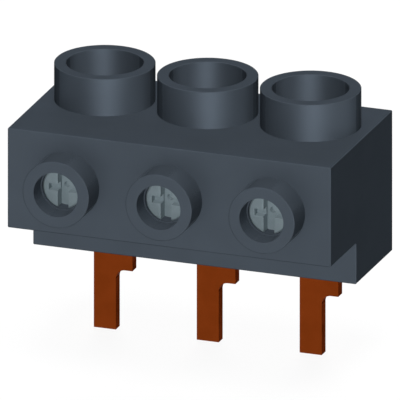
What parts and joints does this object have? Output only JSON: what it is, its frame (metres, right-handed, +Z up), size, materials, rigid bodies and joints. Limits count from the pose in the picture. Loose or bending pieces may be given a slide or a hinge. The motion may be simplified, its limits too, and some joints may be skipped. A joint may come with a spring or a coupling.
{
  "type": "comb busbar infeed terminal block",
  "caption": "Moulded infeed terminal block for comb busbars, with round cable funnels on top, recessed clamp screws in front and copper plug-in pins below.",
  "frame": {"origin": "centre of the middle pin on the seating face, which is the bottom face of the lower block", "axes": "+X to the right along the row of poles, +Y to the back, +Z up along the cable funnels; the screws face -Y and the pins point along -Z"},
  "size_m": [0.045, 0.0277, 0.0371],
  "materials": {
    "moulded_plastic": "fine moulded texture, slate grey",
    "copper": "bare rolled copper strip, slightly brown",
    "zinc_plated_steel": "zinc plated, satin"
  },
  "bodies": {
    "block": {"housing": "moulded_plastic", "rear_cover": "moulded_plastic", "contact_bar_left": "copper", "contact_bar_middle": "copper", "contact_bar_right": "copper"},
    "screw_left": {"clamp_screw_left": "zinc_plated_steel"},
    "cage_left": {"clamp_cage_left": "zinc_plated_steel"},
    "screw_middle": {"clamp_screw_middle": "zinc_plated_steel"},
    "cage_middle": {"clamp_cage_middle": "zinc_plated_steel"},
    "screw_right": {"clamp_screw_right": "zinc_plated_steel"},
    "cage_right": {"clamp_cage_right": "zinc_plated_steel"}
  },
  "joints": [
    {"name": "screw_turn_left", "type": "hinge", "parent": "block", "child": "screw_left", "pos_m": [-0.01434, -0.01555, 0.0126], "axis": [0, 1, 0], "range_deg": [0, 2295]},
    {"name": "cage_slide_left", "type": "slide", "parent": "block", "child": "cage_left", "axis": [0, -1, 0], "range_m": [0, 0.0051]},
    {"name": "screw_turn_middle", "type": "hinge", "parent": "block", "child": "screw_middle", "pos_m": [0, -0.01555, 0.0126], "axis": [0, 1, 0], "range_deg": [0, 2295]},
    {"name": "cage_slide_middle", "type": "slide", "parent": "block", "child": "cage_middle", "axis": [0, -1, 0], "range_m": [0, 0.0051]},
    {"name": "screw_turn_right", "type": "hinge", "parent": "block", "child": "screw_right", "pos_m": [0.01434, -0.01555, 0.0126], "axis": [0, 1, 0], "range_deg": [0, 2295]},
    {"name": "cage_slide_right", "type": "slide", "parent": "block", "child": "cage_right", "axis": [0, -1, 0], "range_m": [0, 0.0051]}
  ],
  "couplings": [
    {"joint": "screw_turn_left", "follows": "cage_slide_left", "rad_per_m": 7854},
    {"joint": "screw_turn_middle", "follows": "cage_slide_middle", "rad_per_m": 7854},
    {"joint": "screw_turn_right", "follows": "cage_slide_right", "rad_per_m": 7854}
  ]
}
